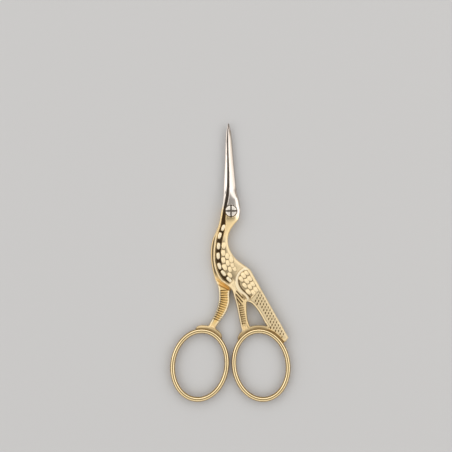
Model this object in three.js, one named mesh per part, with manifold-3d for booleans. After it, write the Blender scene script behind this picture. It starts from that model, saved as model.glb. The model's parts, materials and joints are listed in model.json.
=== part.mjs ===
// Embroidery scissors in the shape of a stork: two forged halves that turn on one screw.
// Millimetres, +Z up. The closed scissors lie on their back with the beak, which is the blades,
// pointing along +Y. The origin is on the pivot axis, in the plane that the scissors rest on.

import * as THREE from "three";
import { mergeVertices } from "three/addons/utils/BufferGeometryUtils.js";
import Module from "manifold-3d";

const wasm = await Module();
wasm.setup();

const DEGREE = Math.PI / 180;

// The lap: one half lies on the other, with a running gap between their flat faces.
const HALF_THICKNESS = 1.75;
const LAP_CLEARANCE = 0.1;
const FRONT_FACE = HALF_THICKNESS + LAP_CLEARANCE;
const STACK = FRONT_FACE + HALF_THICKNESS;
const MID_PLANE = STACK / 2;
const EDGE_ROUND = 0.4;

// The blades, from the pivot to the tip. The rear blade shows beside the front one by its spine.
const BLADE_LENGTH = 28.4;
const BLADE_ROOT = 6.2;
const BLADE_TIP_WIDTH = 0.3;
const BLADE_TIP_THICKNESS = 0.55;
const SPINE_SHOWS = 0.25;
const EDGE_SET_BACK = 0.35;
const BLADE_STATIONS = 22;

// The head round the pivot, and the screw through it.
const HEAD_RADIUS = 3.1;
const HEAD_STEP = 15;
const SCREW_RADIUS = 1.0;
const SCREW_HEAD_RADIUS = 1.85;
const SCREW_HEAD_HEIGHT = 0.75;
const SCREW_DOME = 0.3;
const DOME_STEPS = 6;
const SEAT_DEPTH = 0.45;
const SLOT_WIDTH = 0.45;
const SLOT_DEPTH = 0.4;
const BORE_CLEARANCE = 0.06;
const SEAT_CLEARANCE = 0.15;
const ROUND_SIDES = 36;

// The bows: elliptical finger rings, leaning towards each other at the top.
const BOW_INNER_WIDTH = 15.84;
const BOW_INNER_LENGTH = 20.64;
const BOW_STOCK = 1.58;
const BOW_THICKNESS = 2.0;
const BOW_TILT = 9;
const BOW_GAP = 0.65;
const BOW_AXIS = -0.2;
const PIVOT_TO_BOW = 49.75;
const BOW_SIDES = 60;
const BOW_ROUNDNESS = 0.86;

// The legs, and the crescent of metal where each foot meets its bow.
const LEG_THICKNESS = 2.5;
const LEG_ROUND = 0.45;
const FOOT_ANGLE_FRONT = 108;
const FOOT_ANGLE_REAR = 100;
const CRESCENT_RISE = 1.1;
const CRESCENT_STEPS = 18;
const CRESCENT_STARTS_FRONT = 131;
const CRESCENT_STARTS_REAR = 127;
const CRESCENT_ENDS_FRONT = 50;
const CRESCENT_ENDS_REAR = 70;
const STEP_CLEARANCE = 1.25;

// The tail lands on the front bow at this angle and ends in a corner outside it.
const TAIL_ANGLE = 31;
const TAIL_OVERHANG = 2.35;

// Relief on the outer faces.
const RIM_WIDTH = 0.7;
const CHANNEL_WIDTH = 1.5;
const CHANNEL_DEPTH = 0.6;
const BORDER_WIDTH = 0.95;
const FIELD_DEPTH = 0.25;
const PANEL_DEPTH = 0.3;
const FEATHER_COUNT = 7;
const FEATHERS_START = 4.2;
const FEATHERS_END = 1.6;
const FEATHER_LENGTH = 2.2;
const FEATHER_WIDTH = 0.9;
const WING_LINE_WIDTH = 0.35;
const RIB_PITCH = 0.72;
const RIB_SLOT = 0.3;
const RIB_DEPTH = 0.3;
const LEG_BORDER = 0.6;

// Outline points of the two halves, each list running from the head downwards.
const FRONT_BREAST = [
  [-HEAD_RADIUS, 0],
  [-3.95, -4.5],
  [-5.0, -8.0],
  [-5.6, -12.0],
  [-5.65, -16.0],
  [-4.9, -19.5],
  [-3.3, -22.3],
  [-1.0, -24.05],
  [0.35, -25.5],
  [0.9, -27.2],
  [1.4, -28.9],
];
const FRONT_BACK = [
  [HEAD_RADIUS, 0],
  [2.55, -2.4],
  [0.7, -4.7],
  [-0.7, -7.3],
  [-1.0, -9.8],
  [-0.3, -12.6],
  [1.5, -15.3],
  [4.0, -17.3],
  [6.1, -18.8],
  [7.4, -21.0],
];
const TAIL_INSIDE = [
  [5.5, -29.2],
  [6.6, -29.7],
  [7.9, -31.1],
  [9.35, -33.2],
  [10.9, -36.0],
];
const REAR_BREAST = [
  [-HEAD_RADIUS, 0],
  [-3.7, -3.5],
  [-4.8, -6.6],
  [-6.0, -9.5],
  [-6.5, -13.5],
  [-6.2, -17.4],
  [-5.4, -21.0],
  [-4.3, -24.2],
  [-3.85, -27.0],
];
const REAR_BACK = [
  [HEAD_RADIUS, 0],
  [2.2, -2.4],
  [0.2, -4.7],
  [-1.2, -7.3],
  [-1.5, -9.8],
  [-0.9, -12.6],
  [0.5, -15.3],
  [1.5, -18.5],
  [1.2, -22.0],
  [-0.5, -26.5],
];
const WING_BORDER = [
  [5.4, -18.2],
  [3.55, -19.2],
  [2.26, -20.3],
  [1.61, -21.9],
  [1.61, -23.55],
  [2.26, -25.2],
  [3.23, -26.3],
];
const WING_LINE = [
  [5.16, -18.9],
  [3.87, -19.5],
  [3.06, -20.3],
  [2.55, -21.7],
  [2.5, -22.9],
  [2.9, -24.2],
  [3.71, -25.3],
  [4.6, -26.3],
  [5.6, -26.9],
];

const MOUTH_LINE = [
  [-1.05, 8.0],
  [-1.65, 4.6],
  [-2.15, 1.8],
  [-2.6, -0.6],
  [-3.0, -2.4],
];

// Corners of the sunk panel on the tail: the run from the rump, or back from the tail's own corner
// where it is negative, and the distance inside the border.
const TAIL_PANEL = [
  [4.6, 0],
  [-1.6, 0],
  [-2.6, 1.2],
  [-7.6, 2.9],
  [7.2, 3.7],
];

// Stations down a leg: share of the way from hip to foot, sideways shift, half width.
const FRONT_HIP = [2.75, -26.3];
const FRONT_LEG = [
  [-0.11, 0, 0.9],
  [-0.06, 0, 1.7],
  [0, 0, 2.1],
  [0.17, 0, 1.85],
  [0.3, -0.15, 1.63],
  [0.48, -0.33, 1.42],
  [0.66, -0.42, 1.3],
  [0.78, -0.32, 1.4],
  [1, 0, 1.5],
];
const REAR_HIP = [-2.2, -24.0];
const REAR_LEG = [
  [0, 0, 1.7],
  [0.15, 0.7, 1.7],
  [0.3, 1.49, 1.78],
  [0.47, 1.62, 1.65],
  [0.61, 1.25, 1.4],
  [0.73, 0.77, 1.2],
  [0.83, 0.35, 1.15],
  [1, 0, 1.2],
];

const gold = new THREE.MeshStandardMaterial({ color: 0xe3bd78, roughness: 0.25, metalness: 1 });
const steel = new THREE.MeshStandardMaterial({ color: 0xd9d3cb, roughness: 0.22, metalness: 1 });

// A closed geometry as a solid that can be joined and cut.
function solid(geometry) {
  const bare = geometry.index ? geometry.toNonIndexed() : geometry.clone();
  bare.deleteAttribute("normal");
  bare.deleteAttribute("uv");
  const merged = mergeVertices(bare, 1e-4);
  const mesh = new wasm.Mesh({
    numProp: 3,
    vertProperties: merged.attributes.position.array,
    triVerts: new Uint32Array(merged.index.array),
  });
  return new wasm.Manifold(mesh);
}

function named(name, shape, material) {
  const { vertProperties, triVerts } = shape.getMesh();
  const geometry = new THREE.BufferGeometry();
  geometry.setAttribute("position", new THREE.BufferAttribute(new Float32Array(vertProperties), 3));
  geometry.setIndex(new THREE.BufferAttribute(new Uint32Array(triVerts), 1));
  geometry.computeVertexNormals();
  const mesh = new THREE.Mesh(geometry, material);
  mesh.name = name;
  return mesh;
}

const join = (shapes) => shapes.reduce((whole, shape) => whole.add(shape));

// A smooth line through a few points, as evenly spaced points.
function curve(points, count) {
  const knots = points.map(([x, y]) => new THREE.Vector3(x, y, 0));
  const line = new THREE.CatmullRomCurve3(knots, false, "centripetal");
  return line.getSpacedPoints(count).map((p) => new THREE.Vector2(p.x, p.y));
}

// The same line moved sideways, to the left of its direction of travel.
function offset(line, distance) {
  return line.map((point, i) => {
    const before = line[Math.max(i - 1, 0)];
    const after = line[Math.min(i + 1, line.length - 1)];
    const along = after.clone().sub(before).normalize();
    return new THREE.Vector2(point.x - along.y * distance, point.y + along.x * distance);
  });
}

// The part of a line between two shares of its length.
function stretch(line, from, to) {
  const last = line.length - 1;
  return line.slice(Math.round(from * last), Math.round(to * last) + 1);
}

// A strip along a line, with a half width for each of its points.
function strip(line, halfWidths) {
  const left = line.map((_, i) => offset(line, halfWidths[i])[i]);
  const right = line.map((_, i) => offset(line, -halfWidths[i])[i]);
  return [...left, ...right.reverse()];
}

// A prism with rounded edges: `round` in the plane of the outline, `roundHeight` across it.
function prism(outline, low, high, round = 0, roundHeight = round, holes = []) {
  const shape = new THREE.Shape(outline);
  shape.holes = holes.map((hole) => new THREE.Path(hole));
  const geometry = new THREE.ExtrudeGeometry(shape, {
    depth: high - low - 2 * roundHeight,
    bevelEnabled: round > 0,
    bevelSize: round,
    bevelOffset: -round,
    bevelThickness: roundHeight,
    bevelSegments: 3,
    steps: 1,
  });
  return solid(geometry.translate(0, 0, low + roundHeight));
}

// A plate whose outer edge is rounded and whose lap face, at the other side, is flat and sharp.
function plate(outline, face, outer) {
  const up = Math.sign(outer - face);
  const sunk = face - up * 2 * EDGE_ROUND;
  const whole = prism(outline, Math.min(sunk, outer), Math.max(sunk, outer), EDGE_ROUND);
  const excess = new THREE.BoxGeometry(4 * BLADE_LENGTH, 8 * BLADE_LENGTH, HALF_THICKNESS);
  excess.translate(0, 0, face - up * HALF_THICKNESS / 2);
  return whole.subtract(solid(excess));
}

// A cut into an outer face: everything over the outline, from `depth` below the face.
function carve(outline, outer, up, depth) {
  const floor = outer - up * depth;
  const clear = outer + up * HALF_THICKNESS;
  return prism(outline, Math.min(floor, clear), Math.max(floor, clear));
}

function cylinder(radius, low, high) {
  const geometry = new THREE.CylinderGeometry(radius, radius, high - low, ROUND_SIDES);
  return solid(geometry.rotateX(Math.PI / 2).translate(0, 0, (low + high) / 2));
}

// A skin over cross-sections that have the same number of points, closed at both ends.
function loft(sections, capOutline) {
  const width = sections[0].length;
  const positions = sections.flat().flatMap((p) => [p.x, p.y, p.z]);
  const index = [];
  for (let s = 0; s + 1 < sections.length; s++) {
    for (let i = 0; i < width; i++) {
      const a = s * width + i;
      const b = s * width + ((i + 1) % width);
      index.push(a, b, b + width, a, b + width, a + width);
    }
  }
  const last = (sections.length - 1) * width;
  for (const triangle of THREE.ShapeUtils.triangulateShape(capOutline, [])) {
    const [a, b, c] = triangle.toSorted((p, q) => p - q);
    index.push(c, b, a, last + a, last + b, last + c);
  }
  const geometry = new THREE.BufferGeometry();
  geometry.setAttribute("position", new THREE.Float32BufferAttribute(positions, 3));
  geometry.setIndex(index);
  const made = solid(geometry);
  if (made.volume() > 0) return made;
  for (let i = 0; i < index.length; i += 3) {
    [index[i], index[i + 1]] = [index[i + 1], index[i]];
  }
  return solid(geometry.setIndex(index));
}

// Cross-section of a blade, from the spine at 0 to the cutting edge at 1 and from the flat face
// at 0 to the outer side at 1. At the head it is a full block; along the blade it is hollow-backed:
// a rounded spine, the mouth line of the beak as a groove, and a slope down to the edge.
const SECTION_ACROSS = [0, 0, 0.05, 0.15, 0.27, 0.35, 0.43, 0.6, 0.78, 0.92, 1, 1];
const SECTION_AT_HEAD = [0, 0.8, 0.94, 1, 1, 0.82, 1, 1, 1, 0.97, 0.8, 0];
const SECTION_OF_BLADE = [0, 0.45, 0.74, 0.93, 0.96, 0.7, 1, 0.92, 0.7, 0.38, 0.08, 0];

function blade(spine, edge, face, up) {
  const sections = spine.map((from, i) => {
    const share = i / (spine.length - 1);
    const shaped = THREE.MathUtils.smoothstep(share, 0.05, 0.3);
    const thickness = THREE.MathUtils.lerp(HALF_THICKNESS, BLADE_TIP_THICKNESS, share);
    return SECTION_ACROSS.map((across, k) => {
      const height = THREE.MathUtils.lerp(SECTION_AT_HEAD[k], SECTION_OF_BLADE[k], shaped);
      const at = from.clone().lerp(edge[i], across);
      return new THREE.Vector3(at.x, at.y, face + up * height * thickness);
    });
  });
  const cap = SECTION_ACROSS.map((across, k) => new THREE.Vector2(across, SECTION_AT_HEAD[k]));
  return loft(sections, cap);
}

// Both sides of the beak, from the cheeks to the tip, each moved outwards by its own amount.
function beak(leftOut, rightOut) {
  const down = (share) => THREE.MathUtils.lerp(BLADE_ROOT, BLADE_LENGTH, share);
  const tip = -0.8;
  const left = [
    [-HEAD_RADIUS, 0],
    [-2.6 - leftOut, 0.5 * BLADE_ROOT],
    [-2.38 - leftOut, BLADE_ROOT],
    [-1.95 - leftOut, down(0.37)],
    [-1.5 - leftOut, down(0.86)],
    [tip - BLADE_TIP_WIDTH / 2, BLADE_LENGTH],
  ];
  const right = [
    [HEAD_RADIUS, 0],
    [2.5 + rightOut, 0.5 * BLADE_ROOT],
    [1.68 + rightOut, BLADE_ROOT],
    [0.8 + rightOut, down(0.37)],
    [-0.18 + rightOut, down(0.86)],
    [tip + BLADE_TIP_WIDTH / 2, BLADE_LENGTH],
  ];
  return [curve(left, BLADE_STATIONS), curve(right, BLADE_STATIONS)];
}

// One finger bow. `at` gives a point at an angle round it, a distance outside its opening.
function makeBow(side) {
  const a = BOW_INNER_WIDTH / 2 + BOW_STOCK;
  const b = BOW_INNER_LENGTH / 2 + BOW_STOCK;
  const tilt = BOW_TILT * DEGREE;
  const halfWidth = Math.hypot(a * Math.cos(tilt), b * Math.sin(tilt));
  const centre = new THREE.Vector2(BOW_AXIS + side * (halfWidth + BOW_GAP / 2), -PIVOT_TO_BOW);
  const at = (degrees, out) => {
    const point = new THREE.Vector2(
      (BOW_INNER_WIDTH / 2 + out) * Math.cos(degrees * DEGREE),
      (BOW_INNER_LENGTH / 2 + out) * Math.sin(degrees * DEGREE),
    );
    point.rotateAround(new THREE.Vector2(), tilt);
    return new THREE.Vector2(centre.x + side * point.x, centre.y + point.y);
  };
  const round = (out) => Array.from({ length: BOW_SIDES }, (_, i) => at((360 / BOW_SIDES) * i, out));
  const low = MID_PLANE - BOW_THICKNESS / 2;
  const high = MID_PLANE + BOW_THICKNESS / 2;
  const bulge = BOW_ROUNDNESS / 2;
  const outer = round(BOW_STOCK);
  const hole = round(0).reverse();
  const ring = prism(outer, low, high, bulge * BOW_STOCK, bulge * BOW_THICKNESS, [hole]);

  // The crescent that thickens the top of the bow under the foot, blunt at its ends.
  const crescent = (starts, ends) => {
    const angles = Array.from({ length: CRESCENT_STEPS + 1 }, (_, i) =>
      THREE.MathUtils.lerp(starts, ends, i / CRESCENT_STEPS),
    );
    const outside = angles.map((angle, i) => {
      const swell = 1 - ((2 * i) / CRESCENT_STEPS - 1) ** 8;
      return at(angle, BOW_STOCK + CRESCENT_RISE * swell);
    });
    const inside = angles.map((angle) => at(angle, BOW_STOCK / 2)).reverse();
    return prism([...outside, ...inside], low, high, LEG_ROUND, 1.5 * LEG_ROUND);
  };
  return { at, ring, crescent };
}

// A leg from a hip point to a foot point, with cross ribs cut into both of its faces.
function leg(hip, foot, stations, ribsFrom, ribsTo) {
  const start = new THREE.Vector2(...hip);
  const down = foot.clone().sub(start);
  const aside = new THREE.Vector2(-down.y, down.x).normalize();
  const knots = stations.map(([share, shift]) =>
    start.clone().addScaledVector(down, share).addScaledVector(aside, shift).toArray(),
  );
  const line = curve(knots, 24);
  const lengths = stations.map(([share]) => share);
  const halfWidths = line.map((point) => {
    const share = point.clone().sub(start).dot(down) / down.lengthSq();
    const next = Math.max(1, lengths.findIndex((value) => value >= share - 1e-6));
    const part = (share - lengths[next - 1]) / (lengths[next] - lengths[next - 1]);
    return THREE.MathUtils.lerp(stations[next - 1][2], stations[next][2], part);
  });
  const low = MID_PLANE - LEG_THICKNESS / 2;
  const high = MID_PLANE + LEG_THICKNESS / 2;
  const bar = prism(strip(line, halfWidths), low, high, LEG_ROUND);

  const ribs = new THREE.CatmullRomCurve3(line.map((p) => new THREE.Vector3(p.x, p.y, 0)));
  const length = ribs.getLength();
  const slots = [];
  for (let run = ribsFrom * length; run < ribsTo * length; run += RIB_PITCH) {
    const point = ribs.getPointAt(run / length);
    const along = ribs.getTangentAt(run / length);
    const half = halfWidths[Math.round((run / length) * 24)] - LEG_BORDER;
    for (const face of [low, high]) {
      const slot = new THREE.BoxGeometry(RIB_SLOT, 2 * half, 2 * RIB_DEPTH);
      slot.rotateZ(Math.atan2(along.y, along.x)).translate(point.x, point.y, face);
      slots.push(solid(slot));
    }
  }
  return bar.subtract(join(slots));
}

// The feathered channel behind the breast rim: the cut, and the feathers that stand in it.
function breastFeathers(breast, outer, up) {
  const inner = offset(breast, RIM_WIDTH);
  const far = offset(breast, RIM_WIDTH + CHANNEL_WIDTH);
  const channel = carve([...inner, ...far.reverse()], outer, up, CHANNEL_DEPTH);
  const middle = offset(breast, RIM_WIDTH + CHANNEL_WIDTH / 2);
  const line = new THREE.CatmullRomCurve3(middle.map((p) => new THREE.Vector3(p.x, p.y, 0)));
  const length = line.getLength();
  const feathers = Array.from({ length: FEATHER_COUNT }, (_, i) => {
    const part = i / (FEATHER_COUNT - 1);
    const run = THREE.MathUtils.lerp(FEATHERS_START, length - FEATHERS_END, part);
    const place = line.getPointAt(run / length);
    const along = line.getTangentAt(run / length);
    const feather = new THREE.SphereGeometry(1, 10, 6);
    feather.scale(FEATHER_LENGTH / 2, FEATHER_WIDTH / 2, CHANNEL_DEPTH);
    feather.rotateZ(Math.atan2(along.y, along.x));
    feather.translate(place.x, place.y, outer - up * 1.1 * CHANNEL_DEPTH);
    return solid(feather);
  });
  return { channel, feathers };
}

const headArc = Array.from({ length: 180 / HEAD_STEP - 1 }, (_, i) => {
  const angle = HEAD_STEP * (i + 1) * DEGREE;
  return new THREE.Vector2(HEAD_RADIUS * Math.cos(angle), HEAD_RADIUS * Math.sin(angle));
});

// Front half: the whole bird with its tail, one leg and the right-hand bow.
const rightBow = makeBow(1);
const frontBreast = curve(FRONT_BREAST, 54);
const frontBack = curve(FRONT_BACK, 40);
const tailInside = curve(TAIL_INSIDE, 10);
const tailCorner = rightBow.at(TAIL_ANGLE, BOW_STOCK + TAIL_OVERHANG);
const tailLanding = [50, 40, TAIL_ANGLE].map((angle) => rightBow.at(angle, BOW_STOCK / 2));
const tailEnd = rightBow.at(TAIL_ANGLE - 1, BOW_STOCK + 0.25 * TAIL_OVERHANG);
const frontOutline = [
  ...frontBreast,
  ...tailInside,
  ...tailLanding,
  tailEnd,
  tailCorner,
  ...frontBack.toReversed(),
  ...headArc,
];
const frontLeg = leg(FRONT_HIP, rightBow.at(FOOT_ANGLE_FRONT, BOW_STOCK / 2), FRONT_LEG, 0.34, 0.76);
const frontFeathers = breastFeathers(stretch(frontBreast, 0.04, 0.84), STACK, 1);
const frontField = [
  ...stretch(offset(frontBreast, RIM_WIDTH), 0.16, 0.84),
  ...curve(WING_BORDER, 16).toReversed(),
  ...stretch(offset(frontBack, -BORDER_WIDTH), 0.27, 0.8).toReversed(),
];
const rump = new THREE.Vector2(...FRONT_BACK.at(-1));
const tailAlong = tailCorner.clone().sub(rump).normalize();
const onTail = (run, inset) =>
  new THREE.Vector2(
    rump.x + tailAlong.x * run + tailAlong.y * inset,
    rump.y + tailAlong.y * run - tailAlong.x * inset,
  );
const tailLength = tailCorner.distanceTo(rump);
const tailPanel = TAIL_PANEL.map(([run, inset]) =>
  onTail(run < 0 ? tailLength + run : run, BORDER_WIDTH + inset),
);
const wingLine = curve(WING_LINE, 24);
const wingGroove = strip(wingLine, wingLine.map(() => WING_LINE_WIDTH / 2));
const mouthLine = curve(MOUTH_LINE, 12);
const mouthGroove = strip(mouthLine, mouthLine.map((_, i) => 0.2 + 0.03 * i));
const [frontSpine, frontEdge] = beak(0, 0);
const frontCuts = [
  cylinder(SCREW_RADIUS + BORE_CLEARANCE, FRONT_FACE - 1, STACK + 1),
  cylinder(SCREW_HEAD_RADIUS + SEAT_CLEARANCE, STACK - SEAT_DEPTH, STACK + 1),
  carve(frontField, STACK, 1, FIELD_DEPTH),
  carve(tailPanel, STACK, 1, PANEL_DEPTH),
  carve(wingGroove, STACK, 1, PANEL_DEPTH),
  carve(mouthGroove, STACK, 1, PANEL_DEPTH),
  frontFeathers.channel,
];
const frontSolid = join([
  plate(frontOutline, FRONT_FACE, STACK),
  blade(frontSpine, frontEdge, FRONT_FACE, 1),
  frontLeg,
  rightBow.ring,
  rightBow.crescent(CRESCENT_STARTS_FRONT, CRESCENT_ENDS_FRONT),
])
  .subtract(join(frontCuts))
  .add(join(frontFeathers.feathers));

// Rear half: neck and body behind the front half, the other leg and the left-hand bow.
const leftBow = makeBow(-1);
const rearBreast = curve(REAR_BREAST, 48);
const rearBack = curve(REAR_BACK, 40);
const rearOutline = [...rearBreast, ...rearBack.toReversed(), ...headArc];
const rearLeg = leg(REAR_HIP, leftBow.at(FOOT_ANGLE_REAR, BOW_STOCK / 2), REAR_LEG, 0.1, 0.8);
const rearFeathers = breastFeathers(stretch(rearBreast, 0.04, 0.9), 0, -1);
const [rearEdge, rearSpine] = beak(-EDGE_SET_BACK, SPINE_SHOWS);
const bellyStep = prism(
  [
    ...offset(frontBreast, -STEP_CLEARANCE),
    new THREE.Vector2(BOW_INNER_WIDTH, -PIVOT_TO_BOW / 2),
    new THREE.Vector2(BOW_INNER_WIDTH, 0),
  ],
  HALF_THICKNESS,
  2 * STACK,
);
const rearCuts = [
  cylinder(SCREW_RADIUS + BORE_CLEARANCE, -1, FRONT_FACE),
  rearFeathers.channel,
];
const rearSolid = join([
  plate(rearOutline, HALF_THICKNESS, 0),
  blade(rearSpine, rearEdge, HALF_THICKNESS, -1),
  rearLeg.subtract(bellyStep),
  leftBow.ring,
  leftBow.crescent(CRESCENT_STARTS_REAR, CRESCENT_ENDS_REAR),
])
  .subtract(join(rearCuts))
  .add(join(rearFeathers.feathers));

// Pivot screw: a plain shank filed flush with the back, and a domed head with crossed slots.
const seat = STACK - SEAT_DEPTH;
const domeEdge = seat + SCREW_HEAD_HEIGHT - SCREW_DOME;
const dome = Array.from({ length: DOME_STEPS + 1 }, (_, i) => {
  const share = i / DOME_STEPS;
  return new THREE.Vector2(
    SCREW_HEAD_RADIUS * (1 - share),
    domeEdge + SCREW_DOME * Math.sqrt(1 - (1 - share) ** 2),
  );
});
const screwProfile = [
  new THREE.Vector2(0, 0),
  new THREE.Vector2(SCREW_RADIUS, 0),
  new THREE.Vector2(SCREW_RADIUS, seat + BORE_CLEARANCE),
  new THREE.Vector2(SCREW_HEAD_RADIUS, seat + BORE_CLEARANCE),
  ...dome,
];
const screwBlank = solid(new THREE.LatheGeometry(screwProfile, ROUND_SIDES).rotateX(Math.PI / 2));
const slotTop = seat + SCREW_HEAD_HEIGHT;
const slots = [0, 90].map((degrees) => {
  const slot = new THREE.BoxGeometry(3 * SCREW_HEAD_RADIUS, SLOT_WIDTH, 2 * SLOT_DEPTH);
  return solid(slot.rotateZ(degrees * DEGREE).translate(0, 0, slotTop));
});
const screwSolid = screwBlank.subtract(join(slots));

const scissors = new THREE.Group();
scissors.add(named("rear_half", rearSolid, gold));
scissors.add(named("front_half", frontSolid, gold));
scissors.add(named("pivot_screw", screwSolid, steel));

export default scissors;
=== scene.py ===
# %% [markdown]
# # Embroidery scissors in the shape of a stork
# The scissors are two steel forgings that cross on one screw. The blades are the beak, the lap of
# the two halves is the neck and body, and each leg ends in a finger bow. The solids already have
# the outlines, so this lesson takes its shapes from them and adds what a forge and a plating bath
# give: rolled rims, feathers, ribs, soft edges and two metals.

import json
import math

import bmesh
import bpy
import numpy as np
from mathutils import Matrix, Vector
from mathutils.geometry import delaunay_2d_cdt
from mathutils.kdtree import KDTree

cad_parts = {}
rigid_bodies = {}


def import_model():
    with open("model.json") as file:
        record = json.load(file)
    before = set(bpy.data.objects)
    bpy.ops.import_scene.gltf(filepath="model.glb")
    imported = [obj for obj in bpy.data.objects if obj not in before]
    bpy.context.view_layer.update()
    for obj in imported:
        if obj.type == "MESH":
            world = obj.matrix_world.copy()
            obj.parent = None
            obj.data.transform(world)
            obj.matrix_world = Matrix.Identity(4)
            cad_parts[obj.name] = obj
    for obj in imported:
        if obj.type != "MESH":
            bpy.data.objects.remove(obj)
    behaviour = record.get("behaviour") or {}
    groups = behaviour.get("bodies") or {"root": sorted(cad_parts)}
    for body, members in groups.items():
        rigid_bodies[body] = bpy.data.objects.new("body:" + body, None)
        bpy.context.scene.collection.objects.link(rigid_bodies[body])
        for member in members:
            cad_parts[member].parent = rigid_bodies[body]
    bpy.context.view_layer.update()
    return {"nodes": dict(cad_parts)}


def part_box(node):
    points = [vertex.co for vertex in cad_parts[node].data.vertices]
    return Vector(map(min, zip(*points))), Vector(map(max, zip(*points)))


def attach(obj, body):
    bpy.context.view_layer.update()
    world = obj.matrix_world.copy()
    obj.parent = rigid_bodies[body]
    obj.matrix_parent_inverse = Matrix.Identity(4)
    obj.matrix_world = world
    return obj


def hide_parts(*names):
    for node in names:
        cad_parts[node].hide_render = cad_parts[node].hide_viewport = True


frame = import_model()
MM = 0.001
print("solids:", sorted(frame["nodes"]))

# %% [markdown]
# ## Where the camera stands
# The pair is seen from straight above, beak up. One picture width covers 145.8 mm at the height of
# the scissors, so a long lens at the matching distance gives the same size and almost no
# perspective.

# %% Camera
PICTURE_WIDTH = 145.8
LENS = 100.0
SENSOR = 36.0
PICTURE_CENTRE = (-1.61, -4.84)
SIGHT_HEIGHT = 2.0


def placed(name, data):
    """A new object of the scene."""
    made = bpy.data.objects.new(name, data)
    bpy.context.scene.collection.objects.link(made)
    return made


camera_data = bpy.data.cameras.new("camera")
camera_data.lens = LENS
camera_data.sensor_width = SENSOR
camera = placed("camera", camera_data)
camera_height = PICTURE_WIDTH * LENS / SENSOR
camera.location = (PICTURE_CENTRE[0] * MM, PICTURE_CENTRE[1] * MM, (camera_height + SIGHT_HEIGHT) * MM)
bpy.context.scene.camera = camera
print("camera height, mm:", round(camera_height))

# %% [markdown]
# ## Outlines from the solids
# A cut through a solid, just off the middle of the stack, gives the outline of its whole half:
# blade, neck, leg and bow. The cut comes back as loose edges, so they are walked into closed loops,
# spaced evenly and softened a little, which also rounds the corners as polishing does.

# %% Cutting and walking
OUTLINE_STEP = 0.2
OUTLINE_SOFTEN = 4


def solid_points(solid):
    """Corners of a solid, in mm."""
    mesh = frame["nodes"][solid].data
    flat = np.empty(len(mesh.vertices) * 3)
    mesh.vertices.foreach_get("co", flat)
    return flat.reshape(-1, 3) / MM


def cut_loops(solid, height):
    """Closed loops, in mm, where a solid is cut at a height."""
    bm = bmesh.new()
    bm.from_mesh(frame["nodes"][solid].data)
    bmesh.ops.scale(bm, vec=(1 / MM,) * 3, verts=bm.verts)
    bmesh.ops.remove_doubles(bm, verts=bm.verts, dist=1e-3)
    everything = bm.verts[:] + bm.edges[:] + bm.faces[:]
    cut = bmesh.ops.bisect_plane(bm, geom=everything, plane_co=(0, 0, height), plane_no=(0, 0, 1))
    left = dict.fromkeys(e for e in cut["geom_cut"] if isinstance(e, bmesh.types.BMEdge))
    loops = []
    while left:
        edge, _ = left.popitem()
        first, here = edge.verts
        loop = [first.co.xy[:], here.co.xy[:]]
        while here is not first:
            edge = next((e for e in here.link_edges if e in left), None)
            if edge is None:
                break
            del left[edge]
            here = edge.other_vert(here)
            loop.append(here.co.xy[:])
        loops.append(np.array(loop[:-1]))
    bm.free()
    return sorted(loops, key=lambda loop: -abs(area(loop)))


def area(loop):
    """Area of a closed loop, above nought if it runs counter-clockwise."""
    x, y = loop.T
    return 0.5 * np.sum(x * np.roll(y, -1) - y * np.roll(x, -1))


def closed(loop):
    """A loop with its first point again at the end."""
    return np.vstack([loop, loop[:1]])


def outward(loop):
    """Directions square to a counter-clockwise loop, away from its inside."""
    way = np.roll(loop, -1, 0) - np.roll(loop, 1, 0)
    way /= np.maximum(np.linalg.norm(way, axis=1), 1e-9)[:, None]
    return np.column_stack([way[:, 1], -way[:, 0]])


def run_of(line):
    """How far along a line each of its points lies."""
    return np.concatenate([[0], np.cumsum(np.linalg.norm(np.diff(line, axis=0), axis=1))])


def even(loop):
    """A closed loop with evenly spaced points, counter-clockwise from its top, and softened."""
    loop = loop if area(loop) > 0 else loop[::-1]
    loop = np.roll(loop, -int(np.argmax(loop[:, 1])), axis=0)
    ring = closed(loop)
    run = run_of(ring)
    at = np.linspace(0, run[-1], max(8, int(run[-1] / OUTLINE_STEP)), endpoint=False)
    ring = np.column_stack([np.interp(at, run, ring[:, 0]), np.interp(at, run, ring[:, 1])])
    for _ in range(OUTLINE_SOFTEN):
        ring = 0.5 * ring + 0.25 * (np.roll(ring, 1, 0) + np.roll(ring, -1, 0))
    return ring


# %% Heights and loops of the two halves
NECK_ABOVE = -15
CUT_OFF_MIDDLE = 0.2
front_solid = solid_points("front_half")
rear_solid = solid_points("rear_half")
LAP_FRONT = front_solid[front_solid[:, 1] > NECK_ABOVE, 2].min()
TOP = front_solid[front_solid[:, 1] > NECK_ABOVE, 2].max()
LAP_REAR = rear_solid[rear_solid[:, 1] > NECK_ABOVE, 2].max()
MIDDLE = 0.5 * (LAP_FRONT + LAP_REAR)
LEG_TOP = rear_solid[:, 2].max()
LEG_UNDER = 2 * MIDDLE - LEG_TOP

front_loops = [even(loop) for loop in cut_loops("front_half", MIDDLE + CUT_OFF_MIDDLE)]
rear_loops = [even(loop) for loop in cut_loops("rear_half", MIDDLE - CUT_OFF_MIDDLE)]
print("front loops:", [round(area(loop)) for loop in front_loops], "mm2, lap at", round(LAP_FRONT, 3))
print("rear loops:", [round(area(loop)) for loop in rear_loops], "mm2, lap at", round(LAP_REAR, 3))

# %% [markdown]
# ## Distances
# Rims, borders and feathers all follow an edge, so nearly every height below is a function of how
# far a point lies from some line. This is the one measuring tool of the lesson: the distance to a
# line, and how far along the line the nearest spot is.

# %% Measuring from lines
BATCH = 2000


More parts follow.
